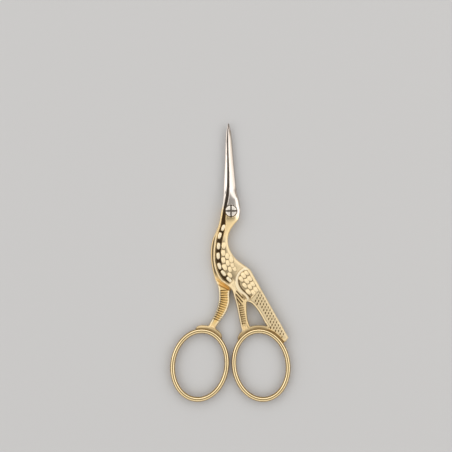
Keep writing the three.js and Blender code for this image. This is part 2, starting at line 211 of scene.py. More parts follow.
def nearest(points, line):
    """Distance of each point from an open line, and the run along the line to its nearest spot."""
    start, end = line[:-1], line[1:]
    step = end - start
    length = np.linalg.norm(step, axis=1)
    run = np.concatenate([[0], np.cumsum(length)])
    distance = np.empty(len(points))
    along = np.empty(len(points))
    for low in range(0, len(points), BATCH):
        batch = slice(low, low + BATCH)
        away = points[batch, None] - start[None]
        share = np.clip((away * step).sum(2) / np.maximum(length ** 2, 1e-12), 0, 1)
        gap = np.linalg.norm(away - share[..., None] * step, axis=2)
        best = gap.argmin(1)
        rows = np.arange(len(best))
        distance[batch] = gap[rows, best]
        along[batch] = run[best] + share[rows, best] * length[best]
    return distance, along


def inside(points, loop):
    """Which points lie inside a closed loop."""
    x, y = points.T
    odd = np.zeros(len(points), bool)
    for (ax, ay), (bx, by) in zip(loop, np.roll(loop, -1, 0)):
        crosses = (ay > y) != (by > y)
        odd ^= crosses & (x < (bx - ax) * (y - ay) / (by - ay + 1e-30) + ax)
    return odd


def ease(low, high, value):
    """Soft step from nought at low to one at high, which may be the smaller of the two."""
    share = np.clip((value - low) / (high - low), 0, 1)
    return share * share * (3 - 2 * share)


def mix(one, two, share):
    """One value where the share is nought, and the other where it is one."""
    return one * (1 - share) + two * share


def bell(value, middle, width):
    """Soft bump, one at the middle and nearly nought two widths away."""
    return np.exp(-((value - middle) / width) ** 2)


def spline(points, step=0.15):
    """A smooth open line through a few points."""
    p = np.array(points, float)
    p = np.vstack([2 * p[0] - p[1], p, 2 * p[-1] - p[-2]])
    out = []
    for a, b, c, d in zip(p[:-3], p[1:-2], p[2:-1], p[3:]):
        for t in np.linspace(0, 1, max(2, int(np.linalg.norm(c - b) / step)), endpoint=False):
            out.append(0.5 * (2 * b + (c - a) * t + (2 * a - 5 * b + 4 * c - d) * t ** 2
                              + (3 * b - a - 3 * c + d) * t ** 3))
    return np.array(out + [p[-2]])


pivot = np.zeros((1, 2))
print("from the pivot to the front outline, mm:", nearest(pivot, closed(front_loops[0]))[0].round(2))

# %% [markdown]
# ## Bow, and what is left without it
# A bow is a plain ring of one section, and it looks best swept as one tube. So each outline is
# split: the finger hole gives the ring, and the rest of the outline, closed along the middle of the
# ring's top, gives the plate that the bird is carved in.

# %% Splitting an outline at its bow
RING_SLACK = 1.12


def split_at_bow(loops):
    """The bird's plate, its edge from bow to bow round the tip, its holes, the ring and its stock."""
    outer, finger, holes = loops[0], loops[1], loops[2:]
    centre = finger.mean(0)
    gap, _ = nearest(outer, closed(finger))
    stock = np.median(gap[outer[:, 1] < centre[1]])
    ring = finger + 0.5 * stock * outward(finger)
    on_ring = gap < RING_SLACK * stock
    start = int(np.argmax(outer[:, 1]))
    order = np.roll(np.arange(len(outer)), -start)
    from_tip = on_ring[order]
    first = int(np.argmax(from_tip))
    last = len(order) - 1 - int(np.argmax(from_tip[::-1]))
    edge = np.vstack([outer[order[last + 1:]], outer[order[:first]]])
    ends = [int(np.argmin(np.linalg.norm(ring - p, axis=1))) for p in (edge[-1], edge[0])]
    forward = (ends[1] - ends[0]) % len(ring)
    there = [(ends[0] + k) % len(ring) for k in range(forward + 1)]
    back = [(ends[0] - k) % len(ring) for k in range(len(ring) - forward + 1)]
    arc = max((ring[there], ring[back]), key=lambda a: a[:, 1].mean())
    return np.vstack([edge, arc]), edge, holes, ring, stock


front_plate, front_edge, front_holes, front_ring, bow_stock = split_at_bow(front_loops)
rear_plate, rear_edge, rear_holes, rear_ring, _ = split_at_bow(rear_loops)
bow_deep = rear_solid[rear_solid[:, 1] < rear_ring[:, 1].mean(), 2]
BOW_LOW, BOW_HIGH = bow_deep.min(), bow_deep.max()
print("bow stock, mm:", round(bow_stock, 2), "by", round(BOW_HIGH - BOW_LOW, 2))
print("holes beside the leg:", len(front_holes), len(rear_holes))

# %% [markdown]
# ## The bird's relief
# The outer face of a half is worked from its two long edges. The breast edge carries a narrow
# rolled rim with a deep channel behind it, the back edge falls away in a wide soft roll, and on the
# beak the channel narrows into the mouth line. Writing this as a depth below the full height keeps
# it in one place for both halves. A place on the bird is its y, in mm from the pivot: the beak is
# above 8, the head about 0, the neck ends near -6, the legs begin near -25 and the bows near -38.

# %% Rolls, channel and beak
RIM = 0.7
RIM_DROP = 0.42
RIM_FALL = 0.16
BACK_DROP = [(-60, 0.5), (-6, 0.55), (-2.5, 0.36), (4.5, 0.36), (8, 0.75)]
BACK_ROLL = [(-60, 0.75), (-21, 0.8), (-17, 1.15), (-9, 1.3), (-5, 1.9), (-2, 1.9), (2, 1.1), (8, 1.1)]
CHANNEL_AT = [(-60, 1.62), (-17, 1.66), (-8, 1.56), (-5, 1.42), (-2.5, 1.2), (0, 1.05), (2.6, 1.12),
              (5.2, 1.3), (8, 1.38), (14, 1.06), (20, 0.68), (28, 0.3)]
CHANNEL_WIDE = [(-60, 1.9), (-17, 2.0), (-8, 1.78), (-5, 1.5), (-2.5, 1.1), (0, 0.85), (2.6, 0.85),
                (5.2, 0.95), (8, 0.72), (14, 0.58), (20, 0.46), (28, 0.3)]
CHANNEL_DEEP = [(-60, 0.55), (-4, 0.6), (0, 0.5), (5, 0.5), (8, 0.36), (14, 0.26), (20, 0.18), (28, 0.06)]
BLADE_THICK = [(0, 1.75), (4, 1.72), (7, 1.55), (12, 1.27), (20, 0.9), (28.5, 0.5)]
BEAK_RIDGE = 0.40
SPINE_FALL = 0.42
EDGE_FALL = 0.74
EDGE_LEFT = 0.04


def table(rows, value):
    """A value that changes along the bird, from rows of height on the bird and value."""
    return np.interp(value, [r[0] for r in rows], [r[1] for r in rows])


def roll(distance, wide, deep):
    """Depth of a rounded edge, a quarter of an ellipse."""
    share = 1 - np.clip(distance / wide, 0, 1)
    return deep * (1 - np.sqrt(1 - share ** 2))


def rim_bead(distance):
    """Depth of the rolled rim: round outside, and falling again towards the channel."""
    inner = ease(0.5 * RIM, RIM, distance) * ease(1.4 * RIM, RIM, distance)
    return roll(distance, 0.5 * RIM, RIM_DROP) + RIM_FALL * inner


def bird_relief(p, breast, back, channel_end):
    """Depth below the full height, how far a point is in the channel, and its way to both edges."""
    y = p[:, 1]
    from_breast, run = nearest(p, breast)
    from_back, _ = nearest(p, back)
    thick = table(BLADE_THICK, y)
    trench = np.abs(from_breast - table(CHANNEL_AT, y)) / (0.5 * table(CHANNEL_WIDE, y))
    trench = ease(1.22, 0.72, trench) * (1 - ease(channel_end - 1.2, channel_end, run))
    channel = trench * table(CHANNEL_DEEP, y)
    back_roll = roll(from_back, table(BACK_ROLL, y), table(BACK_DROP, y))
    bird = np.maximum(rim_bead(from_breast), back_roll) + channel

    across = from_breast / np.maximum(from_breast + from_back, 1e-6)
    spine_side = SPINE_FALL * np.clip((BEAK_RIDGE - across) / BEAK_RIDGE, 0, 1) ** 1.6
    edge_side = EDGE_FALL * np.clip((across - BEAK_RIDGE) / (1 - BEAK_RIDGE), 0, 1) ** 1.25
    beak = thick * np.maximum(spine_side, edge_side) + channel
    beak = np.minimum(beak, thick * (1 - EDGE_LEFT))
    on_beak = ease(3.5, 8.5, y)
    return mix(bird, beak, on_beak), trench, from_breast, from_back


def run_at(line, spot):
    """How far along a line the spot nearest to a point lies."""
    return nearest(np.array([spot], float), line)[1][0]


print("depth of the rim at 0, 0.2 and 0.7 mm:", rim_bead(np.array([0, 0.2, 0.7])).round(2))

# %% [markdown]
# ## Engraved strokes
# The barbs of the tail, the cross slots of both legs and the slots over the front leg are strokes of
# a graver: straight, round at both ends and deepest along the middle. A stroke is kept as its two
# ends, half its width, its depth, and the share of the depth that it loses on the way.

# %% Strokes and their depth
def engrave(p, strokes):
    """Depth cut by the strokes at each point, and how far the point lies inside one."""
    depth, hollow = np.zeros(len(p)), np.zeros(len(p))
    for start, end, half, deep, fade in strokes:
        length = np.linalg.norm(end - start)
        near = np.flatnonzero(np.abs(p - 0.5 * (start + end)).max(1) < length + 2 * half)
        away, along = nearest(p[near], np.array([start, end]))
        cut = ease(1.35, 0.35, away / half) * (1 - fade * along / length)
        depth[near] = np.maximum(depth[near], deep * cut)
        hollow[near] = np.maximum(hollow[near], cut)
    return depth, hollow


def stroke_rows(strokes):
    """Points along the middle, the flanks and the shoulders of every stroke."""
    rows = []
    for start, end, half, _, _ in strokes:
        length = np.linalg.norm(end - start)
        way = (end - start) / length
        side = np.array([-way[1], way[0]])
        steps = np.linspace(0, length, max(2, int(length / 0.14)))[:, None]
        turn = np.linspace(-0.5 * math.pi, 0.5 * math.pi, 6)[:, None]
        rows.append(start + steps * way)
        for out in (0.55 * half, 0.95 * half, 1.4 * half):
            cap = out * (np.cos(turn) * way + np.sin(turn) * side)
            rows += [start + steps * way + out * side, start + steps * way - out * side]
            rows += [end + cap, start - cap]
    return np.vstack(rows)


def across_line(line, pitch, left, right, half, deep, fade):
    """Strokes across a line, reaching a distance to each side of it."""
    run = run_of(line)

    def spot(at):
        return np.array([np.interp(at, run, line[:, k]) for k in (0, 1)])

    strokes = []
    for at in np.arange(0, run[-1], pitch):
        ahead = spot(at + 0.2) - spot(at - 0.2)
        side = np.array([-ahead[1], ahead[0]]) / np.linalg.norm(ahead)
        strokes.append((spot(at) - right * side, spot(at) + left * side, half, deep, fade))
    return strokes


trial = np.array([(0.0, 0.0), (1.0, 0.0)])
print("a trial stroke, depth at both ends:", engrave(trial, [(*trial, 0.2, 0.3, 0.5)])[0].round(2))

# %% [markdown]
# ## Heights of the front half
# The front half lies flat on the lap and is highest along the neck and body. Its leg reaches down
# past the lap and thins towards the bow. A raised band with a groove on each side is the front of the
# wing, a low ridge divides wing from tail, and the tail and the leg have sunk panels with a hem, for
# barbs and ribs.

# %% Lines on the front half
front_tip = int(np.argmax(front_edge[:, 1]))
front_back = front_edge[:front_tip + 1][::-1]
front_breast = front_edge[front_tip:]
front_hole = closed(front_holes[0])

WING_BAND = spline([(5.9, -18.2), (4.1, -18.85), (2.8, -19.85), (2.0, -21.3), (1.85, -22.6), (2.1, -24.0),
                    (2.75, -25.2), (3.7, -26.2), (4.75, -27.1), (5.5, -28.1)])
BAND_HALF = 0.62
BAND_RISE = 0.14
CHEEK_DROP = 0.6
WING_ROOT = spline([(5.95, -28.5), (8.55, -25.6)])
ROOT_HALF = 0.3
LEG_LINE = spline([(2.75, -26.3), (3.1, -29.0), (3.6, -32.0), (4.15, -35.0), (4.3, -37.0)])
LEG_HALF = 1.55
SLOT_ENDS = [((1.75, -25.75), (3.75, -28.0)), ((1.7, -26.95), (3.65, -29.25)),
             ((1.95, -28.3), (3.2, -30.0))]
LEG_SLOTS = [(np.array(start), np.array(end), 0.17, 0.4, 0.0) for start, end in SLOT_ENDS]
TAIL_WAY = np.array([0.49, -0.872])
TAIL_SIDE = np.array([0.872, 0.49])
TAIL_START = np.array([8.0, -25.6])
back_of_wing = front_back[(front_back[:, 1] < -18.2) & (front_back[:, 1] > -25)][::-1]
wing_field = np.vstack([WING_BAND, WING_ROOT, back_of_wing])
channel_ends = run_at(front_breast, (-0.3, -24.2))
front_ring_line = closed(front_ring)
print("front breast and back, mm:", round(run_of(front_breast)[-1]), round(run_of(front_back)[-1]))


# %% Full height of the front half
SHOULDER_BELOW = 0.5
SHOULDER_RISE = 0.42
TAIL_FALL = 0.3
LEG_FOOT = 2.86
LEG_RISE = 0.7


def bow_shoulder(p, ring_line):
    """Height of a bow's forged shoulder, how near its ring a point is, and how far in its valley."""
    from_ring, _ = nearest(p, ring_line)
    height = BOW_HIGH - SHOULDER_BELOW + SHOULDER_RISE * ease(0.5, 1.5, from_ring)
    return height, ease(1.5, 0.95, from_ring), ease(2.3, 0.95, from_ring)


def front_on_bow(p):
    """How far a point of the front half belongs to the shoulder of its bow."""
    x, y = p.T
    return np.maximum(ease(-35.9, -37.8, y) * ease(13.2, 11.4, x),
                      bow_shoulder(p, front_ring_line)[1] * ease(-34.5, -36.0, y))


def front_level(p):
    """Full height of the front half before any relief, and how far a point is in the bow's valley."""
    y = p[:, 1]
    tail_run = (p - TAIL_START) @ TAIL_WAY
    body = LAP_FRONT + table(BLADE_THICK, y) - TAIL_FALL * ease(1, 18, tail_run)
    from_leg, _ = nearest(p, LEG_LINE)
    on_leg = ease(LEG_HALF + 1.0, LEG_HALF - 0.1, from_leg) * ease(-26.0, -29.5, y)
    leg = LEG_FOOT + LEG_RISE * ease(-38.5, -25.5, y)
    on_bow = front_on_bow(p)
    shoulder, _, valley = bow_shoulder(p, front_ring_line)
    return mix(mix(body, leg, on_leg), shoulder, on_bow), valley * on_bow


def past(line, p):
    """How far points lie past a straight line, to its right."""
    way = line[-1] - line[0]
    return (p - line[0]) @ np.array([way[1], -way[0]]) / np.linalg.norm(way)


def tail_panel(p):
    """How far a point belongs to the sunk panel of the tail."""
    run = (p - TAIL_START) @ TAIL_WAY
    on_tail = ease(0.25, 0.5, past(WING_ROOT, p)) * ease(18.6, 17.8, run) * ease(4.6, 5.4, p[:, 0])
    clear = ease(0.45, 0.6, nearest(p, front_back)[0]) * ease(0.45, 0.6, nearest(p, front_hole)[0])
    return on_tail * clear * ease(1.2, 1.5, nearest(p, front_ring_line)[0])


probe = np.array([(0.0, 3.0), (-3.0, -10.0), (3.5, -33.0), (13.0, -35.0)])
print("front heights before any relief:", front_level(probe)[0].round(2))

# %% Strokes of the front half
BARB_COLUMNS = 6
BARB_PITCH = (0.84, 1.1)
BARB_HALF = 0.2
BARB_DEEP = 0.32
BARB_REACH = 0.24
BARB_TURN = math.radians(-98)
FIRST_COLUMN = 0.92
TAIL_LONG = 22.0
RUMP = np.array([7.4, -21.0])
barb_way = BARB_REACH * np.array([math.cos(BARB_TURN), math.sin(BARB_TURN)])
barbs = []
for column in range(BARB_COLUMNS):
    bold = 0.8 + 0.07 * column
    for run in np.arange(0.0, TAIL_LONG, BARB_PITCH[1]) + 0.5 * BARB_PITCH[1] * (column % 2):
        middle = RUMP - (FIRST_COLUMN + column * BARB_PITCH[0]) * TAIL_SIDE + run * TAIL_WAY
        ends = (middle - bold * barb_way, middle + bold * barb_way)
        barbs.append((*ends, bold * BARB_HALF, bold * BARB_DEEP, 0.0))
middles = np.array([0.5 * (barb[0] + barb[1]) for barb in barbs])
good = (tail_panel(middles) > 0.9) & inside(middles, front_plate) & ~inside(middles, front_holes[0])
good &= (nearest(middles, front_hole)[0] > 1.05) & (past(WING_ROOT, middles) > 0.75)
barbs = [barb for barb, keep in zip(barbs, good) if keep]
leg_panel = np.array([p - (0.05, 0) for p in LEG_LINE if -36.9 < p[1] < -30.4])
leg_ribs = across_line(leg_panel, pitch=0.72, left=0.6, right=0.62, half=0.16, deep=0.36, fade=0.35)
front_strokes = barbs + LEG_SLOTS + leg_ribs
print("strokes on the front half:", len(front_strokes))

# %% Relief of the front half
# The first value is the painted shade on the steep walls round the hole and along the leg.
EDGE_SHADE = 0.6
HEM_DEEP = 0.1
FIELD_DEEP = 0.22
EDGING_DEEP = 0.32
PANEL_DEEP = 0.14
ROOT_DEEP = 0.12
ROOT_RISE = 0.13
SEAT_RADIUS = 1.98
SEAT_DEEP = 0.44


def front_face(p):
    """Height of the front half's outer face, and how much painted shade lies there."""
    x, y = p.T
    depth, trench, from_breast, from_back = bird_relief(p, front_breast, front_back, channel_ends)
    from_hole, _ = nearest(p, front_hole)
    depth = np.maximum(depth, roll(from_hole, 0.4, 0.45))
    level, valley = front_level(p)
    panel = tail_panel(p)
    tail_hem = bell(from_hole, 0.78, 0.14) * panel
    leg_hem = bell(from_breast, 0.68, 0.15) * ease(-25.6, -27.0, y) * ease(-37.6, -36.2, y)
    leg_field = ease(0.8, 0.6, nearest(p, leg_panel)[0])

    to_band, _ = nearest(p, WING_BAND)
    band = 1 - np.clip(to_band / BAND_HALF, 0, 1) ** 2
    in_wing = inside(p, wing_field)
    field = ease(2.45, 2.8, from_breast) * ease(0.75, 1.15, from_back) * ease(-8.0, -10.5, y)
    field *= ease(0.8, 1.2, from_hole) * ease(-0.15, -0.35, past(WING_ROOT, p))
    field *= 1 - band
    field_shade = np.where(in_wing, 0.5, 0.12 + 0.5 * ease(6.0, 3.2, from_breast)) * field
    off_back = ease(0.6, 1.0, from_back)
    edging = bell(to_band, BAND_HALF + 0.1, 0.16) * ease(-16.5, -18.5, y) * off_back
    edging *= np.where(in_wing, 1.0, 0.3)
    to_root, _ = nearest(p, WING_ROOT)
    ridge = ease(ROOT_HALF, 0.3 * ROOT_HALF, to_root)
    root_groove = bell(to_root, ROOT_HALF + 0.08, 0.12) * off_back
    cuts, stroke_shade = engrave(p, front_strokes)

    cheek = CHEEK_DROP * np.clip((x + 0.4) / 3.5, 0, 1) ** 2 * ease(-4.5, -1.0, y) * ease(8.0, 4.0, y)
    depth = depth + FIELD_DEEP * field + EDGING_DEEP * edging + PANEL_DEEP * panel + cuts + cheek
    depth = depth + ROOT_DEEP * root_groove - ROOT_RISE * ridge + HEM_DEEP * np.maximum(tail_hem, leg_hem)
    depth = depth - BAND_RISE * band * ease(0.3, 1.2, from_back)
    seat = ease(SEAT_RADIUS + 0.05, SEAT_RADIUS - 0.05, np.hypot(x, y))
    depth = mix(depth, SEAT_DEEP, seat)
    leg_wall = ease(0.28, 0.06, from_breast) * ease(-23.5, -25.5, y)
    wall = np.maximum(ease(0.28, 0.06, from_hole), leg_wall)
    # Painted shade browns the channel, the seat, the gaps between scales, steep walls, panel, strokes,
    # grooves, hems and the bow's valley, where the real metal only lies in shade.
    shades = [trench, seat, field_shade, EDGE_SHADE * wall, 0.16 * panel, 0.9 * stroke_shade, 0.95 * edging]
    shades += [0.45 * root_groove, 0.55 * valley, 0.65 * tail_hem, 0.7 * leg_hem, 0.25 * leg_field]
    return level - depth, np.maximum.reduce(shades)


def front_under(p):
    """Height of the front half's underside: the flat lap, the deeper leg and the bow's shoulder."""
    y = p[:, 1]
    from_leg, _ = nearest(p, LEG_LINE)
    on_leg = ease(LEG_HALF + 0.3, LEG_HALF - 0.1, from_leg) * ease(-25.6, -26.8, y)
    leg = LEG_UNDER + 0.35 * ease(-32, -38.5, y)
    shoulder = 2 * MIDDLE - bow_shoulder(p, front_ring_line)[0]
    under = mix(mix(LAP_FRONT, leg, on_leg), shoulder, front_on_bow(p))
    low = ease(LAP_FRONT - 0.05, LAP_FRONT - 0.6, under)
    edge = np.minimum(nearest(p, front_edge)[0], nearest(p, front_hole)[0])
    return under + low * roll(edge, 0.4, 0.4), np.zeros(len(p))


print("front heights:", front_face(probe)[0].round(2), "under:", front_under(probe)[0].round(2))

# %% [markdown]
# ## Heights of the rear half
# Towards the front half the rear one is flat, so that the two can slide. Below the front half's
# belly its thigh steps up beside it to nearly the same height. Its own outer face, on the back of
# the pair, is worked like the front one.

# %% Lines on the rear half
rear_tip = int(np.argmax(rear_edge[:, 1]))
rear_back = rear_edge[:rear_tip + 1][::-1]
rear_breast = rear_edge[rear_tip:]
THIGH_LINE = spline([(-2.3, -23.6), (-2.2, -26.5), (-2.3, -29.0), (-3.4, -32.5), (-5.0, -36.0),
                     (-6.4, -38.4)])
THIGH_TOP = np.array([(-4.9, -23.6), (0.6, -26.3)])
rear_channel_ends = run_at(rear_breast, (-5.2, -21.5))
rear_ring_line = closed(rear_ring)
SCREW_BORE = math.sqrt(area(rear_holes[0]) / math.pi)
thigh_panel = np.array([p for p in THIGH_LINE if -35.6 < p[1] < -25.6])
rear_strokes = across_line(thigh_panel, pitch=0.76, left=1.15, right=1.05, half=0.2, deep=0.42, fade=0.55)
print("strokes on the rear half:", len(rear_strokes), "bore, mm:", round(SCREW_BORE, 2))


# %% Relief of the rear half
THIGH_FALL = 0.25
THIGH_THINS = (-31, -38.5)
REAR_BOW_FROM = (-36.6, -38.2)
# Painted shade on the thigh's steep walls:
THIGH_EDGE_SHADE = 0.3
FOLD_RISE = 0.14


def rear_face(p):
    """Height of the rear half's inner face with its thigh, and how much painted shade lies there."""
    y = p[:, 1]
    step = past(THIGH_TOP, p)
    by_belly = ease(-20.5, -22.5, y)
    aside = np.where(inside(p, front_loops[0]), 0, 1) * nearest(p, front_breast)[0]
    share = aside / np.maximum(aside + np.maximum(-step, 0), 1e-6)
    on_leg = np.where(step > 0, 1, share ** 1.8 * by_belly)
    on_bow = ease(*REAR_BOW_FROM, y)
    from_breast, _ = nearest(p, rear_breast)
    edge = np.minimum(from_breast, nearest(p, rear_back)[0])
    leg = LEG_TOP - THIGH_FALL * ease(*THIGH_THINS, y)
    shoulder, _, valley = bow_shoulder(p, rear_ring_line)
    level = mix(mix(LAP_REAR, leg, on_leg), shoulder, on_bow)
    neck = (1 - on_leg) * roll(from_breast, 0.3, 0.3)
    # Painted shade on the rear neck strip beside the lap line, where the front half shades it.
    lap_line = ease(0.2, 0.42, from_breast) * ease(1.5, 1.0, from_breast)
    neck_shade = lap_line * (1 - on_leg) * ease(6.0, -2.0, y) * ease(-22.0, -19.5, y)
    # Painted shade at the foot of the thigh's step and along the edge of the belly.
    step_foot = bell(step, -0.1, 0.13) + 0.7 * bell(aside, 0.0, 0.2) * by_belly
    cuts, stroke_shade = engrave(p, rear_strokes)
    fold = bell(share, 0.5, 0.1) * np.where(step > 0, 0, 1) * by_belly
    hem = bell(from_breast, 0.62, 0.15) * ease(-25.0, -26.5, y) * ease(-36.5, -35.0, y)
    depth = on_leg * roll(edge, 0.7, 0.55) + neck + cuts - FOLD_RISE * fold + HEM_DEEP * hem
    wall = on_leg * ease(0.28, 0.06, edge) * ease(-22.0, -24.0, y)
    # Painted shade on walls, strokes, the step's foot, the neck strip, the hem and the bow's valley.
    shades = [THIGH_EDGE_SHADE * wall, 0.88 * stroke_shade, 0.6 * step_foot, 0.85 * neck_shade, 0.55 * hem]
    return level - depth, np.maximum.reduce(shades + [0.55 * valley * on_bow])


def rear_under(p):
    """Height of the rear half's outer face, on the back of the pair, and how much painted shade lies there.
    """
    x, y = p.T
    depth, trench, from_breast, from_back = bird_relief(p, rear_breast, rear_back, rear_channel_ends)
    on_leg = ease(-23.2, -26.2, y)
    on_bow = ease(*REAR_BOW_FROM, y)
    blade = LAP_REAR - table(BLADE_THICK, y)
    leg = LEG_UNDER + THIGH_FALL * ease(*THIGH_THINS, y)
    shoulder, _, valley = bow_shoulder(p, rear_ring_line)
    level = mix(mix(blade, leg, on_leg), 2 * MIDDLE - shoulder, on_bow)
    edge = np.minimum(from_breast, from_back)
    cuts, stroke_shade = engrave(p, rear_strokes)
    bore = roll(np.abs(np.hypot(x, y) - SCREW_BORE), 0.1, 0.1)
    depth = mix(depth, roll(edge, 0.45, 0.5), on_leg) + on_leg * cuts + bore
    # Painted shade in the channel, in the strokes and in the bow's valley.
    return level + depth, np.maximum.reduce([trench * (1 - on_leg), on_leg * stroke_shade, 0.45 * valley * on_bow])


probe = np.array([(-5.9, -14.0), (-2.5, -28.0), (-1.0, 2.0)])
print("rear heights:", rear_face(probe)[0].round(2), "under:", rear_under(probe)[0].round(2))

# %% [markdown]
# ## A closed plate between two heights
# With an outline and two heights, a half becomes one closed mesh: a fine triangle net over the
# outline, lifted once for the face and once for the underside, with a wall round every edge. Rows of
# points close to the edge give the rounding enough faces, a regular net inside keeps the relief even,
# and extra rows follow the strokes, the wing's lines and the thigh's step, so that those stay crisp.
# The plates also carry painted shade and painted highlights, as values that the metal reads.

# %% Net over an outline
EDGE_ROWS = (0.02, 0.07, 0.15, 0.26, 0.4, 0.55)
NET = 0.145
NET_CLEAR = EDGE_ROWS[-1] + 0.06
EXTRA_ROOM = 0.045
ROOM_TO_EXTRA = 0.09


def thinned(points, room):
    """The points without those that crowd another one."""
    _, first = np.unique(np.round(points / room).astype(int), axis=0, return_index=True)
    return points[np.sort(first)]


def far_from(points, others, room):
    """The points that keep some room to a set of others."""
    tree = KDTree(len(others))
    for number, (x, y) in enumerate(others):
        tree.insert((x, y, 0), number)
    tree.balance()
    return points[[tree.find((x, y, 0))[2] > room for x, y in points]]


def net_points(outline, holes, extra):
    """Edge loops, rows beside them, extra rows and a regular net inside, with the loops' own edges."""
    loops = [outline] + holes
    fixed, edges = [], []
    for loop in loops:
        first = sum(len(f) for f in fixed)
        fixed.append(loop)
        edges += [(first + i, first + (i + 1) % len(loop)) for i in range(len(loop))]
    low, high = outline.min(0), outline.max(0)
    xs = np.arange(low[0], high[0], NET)
    ys = np.arange(low[1], high[1], NET * math.sqrt(0.75))
    gx, gy = np.meshgrid(xs, ys)
    gx[1::2] += NET / 2
    net = np.column_stack([gx.ravel(), gy.ravel()])
    net = net[inside(net, outline)]
    loose = [(net, NET_CLEAR)]
    if len(extra):
        extra = thinned(extra, EXTRA_ROOM)
        loose = [(far_from(net, extra, ROOM_TO_EXTRA), NET_CLEAR), (extra, NET_CLEAR)]
    for number, loop in enumerate(loops):
        inward = outward(loop) * (-1 if number == 0 else 1)
        loose += [(loop + row * inward, 0.9 * row) for row in EDGE_ROWS]
    kept = []
    for points, clear in loose:
        room = np.min([nearest(points, closed(loop))[0] for loop in loops], axis=0)
        kept.append(points[(room >= clear) & inside(points, outline)])
    return np.vstack(fixed + kept), edges


# %% Sheets and walls
PLAIN_PALE = 0.4
LEAST_THICK = 0.03
SHARP = math.radians(58)


def add_marks(mesh, marks):
    """Named values on the points of a mesh, which the metals read."""
    for label, values in marks.items():
        mark = mesh.attributes.new(label, "FLOAT", "POINT")
        mark.data.foreach_set("value", values.astype(np.float32))


def new_piece(name, points, faces, marks, sharp=None):
    """A smooth piece from points in mm, with sharp edges where its faces turn by more than an angle."""
    mesh = bpy.data.meshes.new(name)
    mesh.from_pydata((points * MM).tolist(), [], faces)
    mesh.shade_smooth()
    if sharp:
        mesh.set_sharp_from_angle(angle=sharp)
    add_marks(mesh, marks)
    print(name, "faces:", len(faces))
    return placed(name, mesh)


def bird_satin(p):
    """Nought on the polished beak and head, one on the worked body."""
    return ease(-1.8, -4.0, p[:, 1])


def plain_pale(p):
    return np.full(len(p), PLAIN_PALE)


def plate_between(name, outline, holes, face, under, extra=(), pale_and_sheen=plain_pale):
    """A closed plate over an outline with holes, between the heights of its face and its underside."""
    points, edges = net_points(outline, holes, extra)
    corners, _, triangles = delaunay_2d_cdt([Vector(p) for p in points], edges, [], 0, 1e-7)[:3]
    flat = np.array([c[:] for c in corners])
    tris = np.array(triangles)
    middle = flat[tris].mean(1)
    keep = inside(middle, outline)
    for hole in holes:
        keep &= ~inside(middle, hole)
    used, tris = np.unique(tris[keep], return_inverse=True)
    flat, tris = flat[used], tris.reshape(-1, 3)
    a, b, c = (flat[tris[:, k]] for k in range(3))
    turn = (b[:, 0] - a[:, 0]) * (c[:, 1] - a[:, 1]) - (b[:, 1] - a[:, 1]) * (c[:, 0] - a[:, 0])
    tris[turn < 0] = tris[turn < 0][:, ::-1]
    sides = {}
    for i, j, k in tris.tolist():
        sides.update(dict.fromkeys(((i, j), (j, k), (k, i))))
    rim = [(i, j) for i, j in sides if (j, i) not in sides]
    count = len(flat)
    top, hollow = face(flat)
    low, hollow_low = under(flat)
    top = np.maximum(top, low + LEAST_THICK)
    points = np.vstack([np.column_stack([flat, top]), np.column_stack([flat, low])])
    faces = tris.tolist() + (tris[:, ::-1] + count).tolist()
    faces += [(i, i + count, j + count, j) for i, j in rim]
    # The marks hold painted shade, the satin share, and the gold's pale tone with its painted highlights.
    marks = {"hollow": np.concatenate([hollow, hollow_low]), "satin": np.tile(bird_satin(flat), 2),
             "pale_and_sheen": np.tile(pale_and_sheen(flat), 2)}
    return new_piece(name, points, faces, marks, SHARP)


# %% Where the gold is paler, with painted highlights
def front_pale(p):
    """Paler gold on the body, and painted highlights on the rim of the leg and most of all on the wing's
    band.
    """
    band = ease(BAND_HALF, 0.5 * BAND_HALF, nearest(p, WING_BAND)[0])
    leg = ease(2.4, 1.6, nearest(p, LEG_LINE)[0]) * ease(-25.5, -28.0, p[:, 1])
    body = ease(-6.0, -10.0, p[:, 1]) * (1 - leg) * ease(1.4, 2.4, nearest(p, front_ring_line)[0])
    rim = leg * ease(0.75, 0.45, nearest(p, front_breast)[0])
    return PLAIN_PALE + 0.15 * body + 0.2 * band + 0.2 * rim


def thigh_pale(p):
    """Deeper gold on the thigh, and painted highlights on its two rims."""
    thigh = ease(-22.0, -24.0, p[:, 1]) * ease(-37.5, -35.5, p[:, 1])
    rim = ease(0.75, 0.45, np.minimum(nearest(p, rear_breast)[0], nearest(p, rear_back)[0]))
    return PLAIN_PALE * (1 - 0.6 * thigh) + 0.55 * thigh * rim


print("pale on the wing's band:", front_pale(WING_BAND[9:10]).round(2))
print("pale on the thigh:", thigh_pale(thigh_panel[9:10]).round(2))

# %% The two plates
def beside(line, distance):
    """A line at a distance to the left of another, seen along it."""
    way = np.gradient(line, axis=0)
    way /= np.maximum(np.linalg.norm(way, axis=1), 1e-9)[:, None]
    return line + distance * np.column_stack([-way[:, 1], way[:, 0]])


